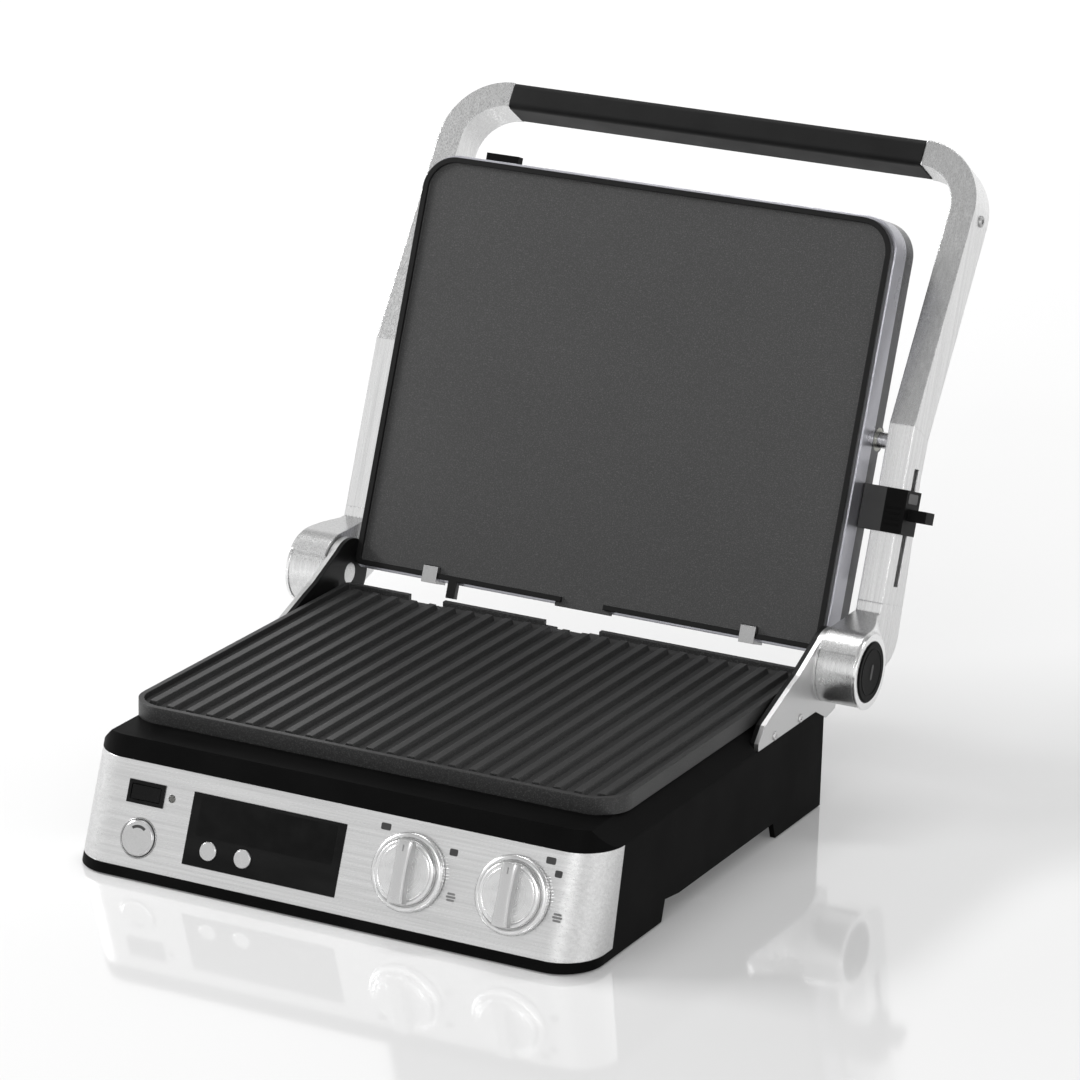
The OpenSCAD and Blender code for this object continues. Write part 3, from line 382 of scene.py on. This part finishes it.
PRINT_DARK = moulded("print_dark", grey(0.05), 0.6, 0.3, 0.0003, 0.00001, 0.0)
PRINT_GREY = moulded("print_grey", grey(0.26), 0.6, 0.3, 0.0003, 0.00001, 0.0)
PRINT_DIM = moulded("print_dim", grey(0.1), 0.6, 0.2, 0.0003, 0.00001, 0.0)


def two_tone_bracket(node, sign):
    """Metal outer half of a hinge bracket over its black inner half."""
    made = painted(node + "_metal", 0.62, 0.0, 0.33, 0.95)
    start = NODES[node].matrix_world.to_translation().x
    split = BRACKET_SPLIT - sign * start
    outer = beyond(made, (sign, 0, 0), split - SOFT, split + SOFT)
    blend(made, outer, grey(0.008), base_colour(made))
    steer(made, outer, "Metallic", 0.0, 0.95)
    steer(made, outer, "Specular IOR Level", 0.1, 0.5)
    return made


def dark_rim_plate():
    """The upper plate's coating, with a plainer and darker rim round its flecked cooking face."""
    made = coated("upper_plate_coating", grey(0.04), grey(0.11), 0.44, 0.38)
    normal, start = arm_depth("upper_plate")
    split = start + PLATE_RIM
    inner = beyond(made, normal, split - 4 * SOFT, split + 4 * SOFT)
    blend(made, inner, grey(0.008), base_colour(made))
    steer(made, inner, "Specular IOR Level", 0.15, 0.4)
    return made


def lid_frame_with_painted_shade():
    """Lid frame: silver paint next to the plate, and a dark painted shade towards the rear cover, for the
    shade that the arms throw on its side wall.
    """
    made = painted("lid_frame_silver_and_painted_shade", 0.5, 0.04, 0.3, 0.9, 0.0012)
    normal, start = arm_depth("lid_frame")
    split = start + LID_SHADE_DEPTH
    # painted shade: past this depth the frame turns dark and less metallic
    rear = beyond(made, normal, split - SOFT, split + SOFT)
    blend(made, rear, base_colour(made), (0.06, 0.06, 0.064))
    steer(made, rear, "Metallic", 0.9, 0.4)
    return made


def two_tone_slider():
    """Lock slider: dark grey half next to the lid, black half on the arm."""
    made = moulded("lock_slider_plastic", grey(0.05), 0.42, 0.1, 0.0005, 0.00004)
    split = SLIDER_SPLIT - NODES["lock_slider"].matrix_world.to_translation().x
    outer = beyond(made, (1, 0, 0), split - 2 * SOFT, split + 2 * SOFT)
    blend(made, outer, base_colour(made), grey(0.006))
    steer(made, outer, "Specular IOR Level", 0.2, 0.05)
    return made


def dress_cad():
    """Gives each carried-over solid the finish of its slot, and some solids a finish of their own."""
    own = {
        "hinge_bracket_left": two_tone_bracket("hinge_bracket_left", -1),
        "hinge_bracket_right": two_tone_bracket("hinge_bracket_right", 1),
        "upper_plate": dark_rim_plate(),
        "lid_frame": lid_frame_with_painted_shade(),
        "lock_slider": two_tone_slider(),
    }
    for name, node in NODES.items():
        for slot in node.material_slots:
            slot.material = own.get(name) or FINISHES[slot.material.name.split(".")[0]]


# ------------------------------------------------------------------ mesh helpers
def turned(bm, profile, steps=64, place=None):
    """Solid of revolution about Z from (radius, height) pairs; a radius may be a function of angle."""
    place = place or Matrix.Identity(4)
    rings = []
    for radius, z in profile:
        if radius == 0:
            rings.append([bm.verts.new(place @ Vector((0, 0, z)))])
            continue
        ring = []
        for i in range(steps):
            a = math.tau * i / steps
            r = radius(a) if callable(radius) else radius
            ring.append(bm.verts.new(place @ Vector((r * math.cos(a), r * math.sin(a), z))))
        rings.append(ring)
    for low, high in zip(rings, rings[1:]):
        for i in range(steps):
            j = (i + 1) % steps
            if len(low) == 1:
                bm.faces.new((low[0], high[j], high[i]))
            elif len(high) == 1:
                bm.faces.new((low[i], low[j], high[0]))
            else:
                bm.faces.new((low[i], low[j], high[j], high[i]))


def loft(bm, sections):
    """Skin through equal closed sections, with end caps."""
    rings = [[bm.verts.new(p) for p in section] for section in sections]
    count = len(rings[0])
    for low, high in zip(rings, rings[1:]):
        for i in range(count):
            j = (i + 1) % count
            bm.faces.new((low[i], low[j], high[j], high[i]))
    bm.faces.new(list(reversed(rings[0])))
    bm.faces.new(rings[-1])


def pill(bm, width, height, thick, place, round_r=None):
    """Thin raised mark with round corners, lying in the frame's XY plane."""
    r = min(width, height) / 2 if round_r is None else round_r
    outline = []
    for cx, cy, start in ((1, 1, 0), (-1, 1, 90), (-1, -1, 180), (1, -1, 270)):
        for step in range(5):
            a = math.radians(start + step * 22.5)
            x, y = cx * (width / 2 - r), cy * (height / 2 - r)
            outline.append((x + r * math.cos(a), y + r * math.sin(a)))
    sections = [[place @ Vector((x, y, z)) for x, y in outline] for z in (0, thick)]
    loft(bm, sections)


def finish_mesh(name, bm, finish, body, place=None, smooth=32):
    """Turns bm into a piece that rides on body; bm is in the frame place, or in metres."""
    bmesh.ops.recalc_face_normals(bm, faces=bm.faces)
    mesh = bpy.data.meshes.new(name)
    bm.to_mesh(mesh)
    bm.free()
    for face in mesh.polygons:
        face.use_smooth = True
    mesh.set_sharp_from_angle(angle=math.radians(smooth))
    mesh.materials.append(finish)
    piece = bpy.data.objects.new(name, mesh)
    bpy.context.scene.collection.objects.link(piece)
    if place is not None:
        mesh.transform(Matrix.Scale(place.to_scale().x, 4))
        piece.matrix_world = place.to_3x3().normalized().to_4x4()
        piece.matrix_world.translation = place.to_translation()
    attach(piece, body)
    return piece


# ------------------------------------------------------------------ knobs and controls
def knob(body, x):
    """Knurled skirt, groove, turned dial and a waisted grip bar."""
    def knurl(a):
        return SKIRT_R - KNURL_DEPTH * (0.5 + 0.5 * math.cos(a * KNURLS))
    bm = bmesh.new()
    turned(bm, [
        (0, 0.35), (19.6, 0.35), (20.0, 0.5), (knurl, 0.9), (knurl, 2.9), (20.0, 3.3), (19.4, 3.9),
        (18.7, 4.2), (18.0, 4.2), (17.5, 3.9), (17.2, 3.3), (16.9, 3.3), (16.7, 5.9), (16.4, 6.4),
        (15.9, 6.65), (14.9, 6.7), (14.6, 6.5), (14.2, 6.5), (13.9, 6.7), (0, 6.75)], 320)
    place = fascia(x, KNOB_UP)
    piece = finish_mesh(body, bm, FINISHES["knob_metal"], body, place, 28)
    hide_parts(body)
    bm = bmesh.new()
    sections = []
    for k in range(25):
        s = -1 + k / 12
        waist = 1 - 0.16 * (1 - s * s)
        drop = 0.5 * abs(s) ** 6
        section = []
        for cx, cz in ((-4.5, 6.0), (-4.5, 10.6), (-4.4, 11.2), (-4.1, 11.6), (-3.6, 11.85), (-2.6, 12.0),
                       (2.6, 12.0), (3.6, 11.85), (4.1, 11.6), (4.4, 11.2), (4.5, 10.6), (4.5, 6.0)):
            reach = math.sqrt(BAR_R ** 2 - cx * cx)
            section.append(Vector((cx * waist, s * reach, cz - drop * (cz > 10))))
        sections.append(section)
    loft(bm, sections)
    finish_mesh(body + "_bar", bm, FINISHES["button_metal"], body, place, 40)
    bm = bmesh.new()
    pill(bm, 0.7, 6.5, 0.22, Matrix.Translation((0, 10.6, 11.74)))
    finish_mesh(body + "_pointer", bm, PRINT_GREY, body, place)


def knob_marks():
    """Generic printed marks round both knobs: dark bars, and stacks of pale lines."""
    solid, pale = bmesh.new(), bmesh.new()
    left, right = KNOB_XS
    ring, pale_ring = 26.6, 26.2
    for x, angle, width in ((left, 131, 5.6), (left, 33, 4.6), (right, 51, 5.4), (right, 34, 4.0)):
        a = math.radians(angle)
        place = fascia(x + ring * math.cos(a), KNOB_UP + ring * math.sin(a), 0.02)
        pill(solid, width, 3.5, 0.06, place, 0.8)
    for x, angle in ((left, -17), (right, -14)):
        a = math.radians(angle)
        for shift in (-1.6, 0, 1.6):
            place = fascia(x + pale_ring * math.cos(a), KNOB_UP + pale_ring * math.sin(a) + shift, 0.02)
            pill(pale, 5.4 - 0.6 * abs(shift), 1.15, 0.06, place)
    finish_mesh("knob_marks_dark", solid, PRINT_DARK, "base")
    finish_mesh("knob_marks_pale", pale, PRINT_GREY, "base")


def arc_strip(bm, place, radius, width, start, end, thick, steps=24):
    sections = []
    for k in range(steps + 1):
        a = math.radians(start + (end - start) * k / steps)
        section = []
        for r, z in ((radius - width / 2, 0), (radius + width / 2, 0), (radius + width / 2, thick),
                     (radius - width / 2, thick)):
            section.append(place @ Vector((r * math.cos(a), r * math.sin(a), z)))
        sections.append(section)
    loft(bm, sections)


def start_button_detail():
    """A short arc printed on the start button, and the ring that it sits in."""
    bm = bmesh.new()
    arc_strip(bm, fascia(START_X, START_UP, 1.5), 6.0, 1.5, 52, 128, 0.05)
    finish_mesh("start_mark", bm, PRINT_DARK, "start_button")
    bm = bmesh.new()
    turned(bm, [(9.85, 0.0), (10.7, 0.0), (10.7, 0.15), (10.5, 0.3), (10.05, 0.3), (9.85, 0.15),
                (9.85, 0.0)], 72, fascia(START_X, START_UP))
    finish_mesh("start_ring", bm, FINISHES["encoder_metal"], "base")


def window_detail():
    """The darker field of the display in its window."""
    bm = bmesh.new()
    pill(bm, 80, 20, 0.05, fascia(WINDOW_X, WINDOW_UP, 0.21), 1.0)
    field = new_material("display_field", grey(0.006), 0.3, 0.0, 0.06)
    cloud = noise(field, (0.01, 0.01, 0.01), 2)
    tint(field, cloud, grey(0.005), grey(0.009))
    relief(field, [(cloud, 0.00001, 0.1)])
    finish_mesh("display_field", bm, field, "base")


def release_detail():
    """Dim bar on the round release button, in a shallow ring."""
    face = arm(BUTTON_X, 0, 0) @ Matrix.Rotation(math.radians(90), 4, "Y")
    bm = bmesh.new()
    pill(bm, 8.5, 2.4, 0.2, face)
    finish_mesh("release_mark", bm, PRINT_DIM, "release_button")
    bm = bmesh.new()
    arc_strip(bm, face, 12.6, 0.7, 0, 360, 0.18, 72)
    finish_mesh("release_ring", bm, FINISHES["button_black"], "release_button")


def slider_detail():
    """Ribs for the thumb across the slider's collar, and a grey painted highlight on its outer face."""
    bm = bmesh.new()
    for along in (79.9, 82.9, 85.9, 88.9):
        place = arm(RIBS_X, RIBS_DEPTH, along) @ Matrix.Rotation(math.radians(90), 4, "X")
        pill(bm, 9, 1.1, 0.35, place)
    finish_mesh("slider_ribs", bm, FINISHES["button_black"], "lock_slider")
    # painted highlight: a grey patch on the black collar's outer face, for the light that it catches
    painted_highlight_finish = moulded("slider_painted_highlight", grey(0.14), 0.45, 0.2, 0.0005, 0.00004)
    face = arm(COLLAR_X, HIGHLIGHT_DEPTH, HIGHLIGHT_ALONG) @ Matrix.Rotation(math.radians(90), 4, "Y")
    bm = bmesh.new()
    pill(bm, 5.5, 13, 0.25, face, 1.2)
    finish_mesh("slider_painted_highlight", bm, painted_highlight_finish, "lock_slider")


# ------------------------------------------------------------------ screws
def hexagon(across):
    """Radius at each angle of a hexagon that measures across between its flats."""
    def radius(a):
        return across / 2 / math.cos((a % (math.pi / 3)) - math.pi / 6)
    return radius


def screw_heads(name, node, body, places, r, h, socket=2.6, finish=None):
    """Domed heads with a hexagonal socket; each place looks outwards along Z."""
    bm = bmesh.new()
    for place in places:
        turned(bm, [(0, 0), (r, 0), (r, h * 0.45), (r * 0.93, h * 0.8), (r * 0.75, h * 0.98),
                    (r * 0.6, h), (hexagon(socket), h), (hexagon(socket * 0.98), h * 0.25), (0, h * 0.2)],
               48, place)
    piece = finish_mesh(name, bm, finish or FINISHES["screw_steel"], body)
    if node:
        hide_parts(node)


def outward(place, sign):
    return place @ Matrix.Rotation(math.radians(90 * sign), 4, "Y")


def all_screws():
    screw_heads("handle_screw_heads", "handle_screws", "arms",
                [outward(bow(s * ARM_OUT, HANDLE_SCREW_DEPTH, HANDLE_SCREW_ALONG), s) for s in (-1, 1)],
                3.2, 1.2)
    sides = []
    for s in (-1, 1):
        for y in BRACKET_SCREW_YS:
            spot = HINGE + Vector((s * BRACKET_X, y, BRACKET_SCREW_Z)) * MM
            sides.append(outward(Matrix.Translation(spot) @ Matrix.Scale(MM, 4), s))
    screw_heads("bracket_screw_heads", "bracket_screws", "base", sides, 2.4, 0.9, 1.8,
                FINISHES["bracket_metal"])


# ------------------------------------------------------------------ studio
def studio_camera():
    azimuth, elevation, roll = (math.radians(v) for v in (27.03, 17.78, 1.55))
    back = Vector((math.sin(azimuth) * math.cos(elevation), -math.cos(azimuth) * math.cos(elevation),
                   math.sin(elevation)))
    right = Vector((math.cos(azimuth), math.sin(azimuth), 0))
    up = back.cross(right)
    side = math.cos(roll) * right + math.sin(roll) * up
    top = math.cos(roll) * up - math.sin(roll) * right
    data = bpy.data.cameras.new("camera")
    data.lens, data.sensor_width = 163.46, 36
    data.clip_start, data.clip_end = 0.05, 60
    camera = bpy.data.objects.new("camera", data)
    bpy.context.scene.collection.objects.link(camera)
    turn = Matrix((side, top, back)).transposed().to_4x4()
    target = HINGE + Vector(CAMERA_AIM) * MM
    camera.matrix_world = Matrix.Translation(target + back * CAMERA_DISTANCE) @ turn
    bpy.context.scene.camera = camera


def lamp(name, place, aim, length, power):
    """Strip light LAMP_WIDTH wide; its power is in watts."""
    data = bpy.data.lights.new(name, "AREA")
    data.shape, data.size, data.size_y, data.energy = "RECTANGLE", length, LAMP_WIDTH, power
    light = bpy.data.objects.new(name, data)
    bpy.context.scene.collection.objects.link(light)
    place, aim = Vector(place), Vector(aim)
    turn = (aim - place).to_track_quat("-Z", "Y").to_matrix().to_4x4()
    light.matrix_world = Matrix.Translation(place) @ turn


def seen_rays(tree):
    """1 for camera, glossy and transmission rays."""
    path = tree.nodes.new("ShaderNodeLightPath")
    value = path.outputs["Is Camera Ray"]
    for name in ("Is Glossy Ray", "Is Transmission Ray"):
        join = tree.nodes.new("ShaderNodeMath")
        join.operation = "MAXIMUM"
        tree.links.new(value, join.inputs[0])
        tree.links.new(path.outputs[name], join.inputs[1])
        value = join.outputs["Value"]
    return value


def studio_world():
    """White backdrop for what is seen or reflected, greyer high up; plain fill light."""
    world = bpy.data.worlds.new("studio")
    bpy.context.scene.world = world
    world.use_nodes = True
    tree = world.node_tree
    tree.nodes.clear()
    out = tree.nodes.new("ShaderNodeOutputWorld")
    fill = tree.nodes.new("ShaderNodeBackground")
    fill.inputs["Color"].default_value = (1, 1, 1, 1)
    fill.inputs["Strength"].default_value = 0.32
    seen = tree.nodes.new("ShaderNodeBackground")
    coords = tree.nodes.new("ShaderNodeTexCoord")
    split = tree.nodes.new("ShaderNodeSeparateXYZ")
    ramp = tree.nodes.new("ShaderNodeValToRGB")
    stops = ((0.0, 1.0), (0.2, 0.98), (0.33, 0.93), (0.48, 0.6), (0.7, 0.38), (1.0, 0.8))
    ramp.color_ramp.elements[0].position = stops[0][0]
    ramp.color_ramp.elements[0].color = (*grey(stops[0][1]), 1)
    ramp.color_ramp.elements[1].position = stops[-1][0]
    ramp.color_ramp.elements[1].color = (*grey(stops[-1][1]), 1)
    for position, level in stops[1:-1]:
        ramp.color_ramp.elements.new(position).color = (*grey(level), 1)
    mix = tree.nodes.new("ShaderNodeMixShader")
    tree.links.new(coords.outputs["Generated"], split.inputs["Vector"])
    tree.links.new(split.outputs["Z"], ramp.inputs["Fac"])
    tree.links.new(ramp.outputs["Color"], seen.inputs["Color"])
    tree.links.new(seen_rays(tree), mix.inputs["Fac"])
    tree.links.new(fill.outputs["Background"], mix.inputs[1])
    tree.links.new(seen.outputs["Background"], mix.inputs[2])
    tree.links.new(mix.outputs["Shader"], out.inputs["Surface"])


def studio_floor():
    """White glossy table top that keeps the shadow and a faint mirror image, brighter far away."""
    made = new_material("floor", grey(0.92), 0.07, 0.0, 0.5)
    shader = shader_of(made)
    shader.inputs["IOR"].default_value = 2.3
    tree = made.node_tree
    cloud = noise(made, (0.4, 0.4, 0.4), 2)
    tint(made, cloud, grey(0.91), grey(0.93))
    # painted light: this glow whitens the floor for camera and glossy rays, weakest round the part and
    # strongest far away, so the floor round the part looks darker
    glow = tree.nodes.new("ShaderNodeEmission")
    glow.inputs["Color"].default_value = (1, 1, 1, 1)
    level = tree.nodes.new("ShaderNodeMath")
    level.operation = "MULTIPLY"
    coords = tree.nodes.new("ShaderNodeTexCoord")
    away = tree.nodes.new("ShaderNodeVectorMath")
    away.operation = "LENGTH"
    tree.links.new(coords.outputs["Object"], away.inputs[0])
    tree.links.new(remap(made, away.outputs["Value"], 0.1, 0.4, 0.35, 2.2), level.inputs[1])
    both = tree.nodes.new("ShaderNodeAddShader")
    out = tree.nodes["Material Output"]
    tree.links.new(seen_rays(tree), level.inputs[0])
    tree.links.new(level.outputs["Value"], glow.inputs["Strength"])
    tree.links.new(shader.outputs["BSDF"], both.inputs[0])
    tree.links.new(glow.outputs["Emission"], both.inputs[1])
    tree.links.new(both.outputs["Shader"], out.inputs["Surface"])
    bm = bmesh.new()
    bmesh.ops.create_grid(bm, x_segments=8, y_segments=8, size=9)
    mesh = bpy.data.meshes.new("floor")
    bm.to_mesh(mesh)
    bm.free()
    mesh.materials.append(made)
    floor = bpy.data.objects.new("floor", mesh)
    bpy.context.scene.collection.objects.link(floor)
    floor.location.z = -0.0002


def studio():
    studio_camera()
    studio_world()
    studio_floor()
    lamp("key", (-2.1, -0.5, 1.3), (0, 0, 0.1), 1.1, 38)
    lamp("front", (0.5, -2.2, 1.3), (0, 0, 0.1), 1.2, 12)
    lamp("side", (1.9, -0.6, 0.8), (0.1, 0, 0.15), 0.9, 4)
    lamp("top", (-0.3, 0.6, 2.0), (0, 0, 0.1), 1.2, 10)
    bpy.context.scene.view_settings.view_transform = "Standard"


dress_cad()
knob("temperature_knob", KNOB_XS[0])
knob("timer_knob", KNOB_XS[1])
knob_marks()
start_button_detail()
window_detail()
release_detail()
slider_detail()
all_screws()
studio()
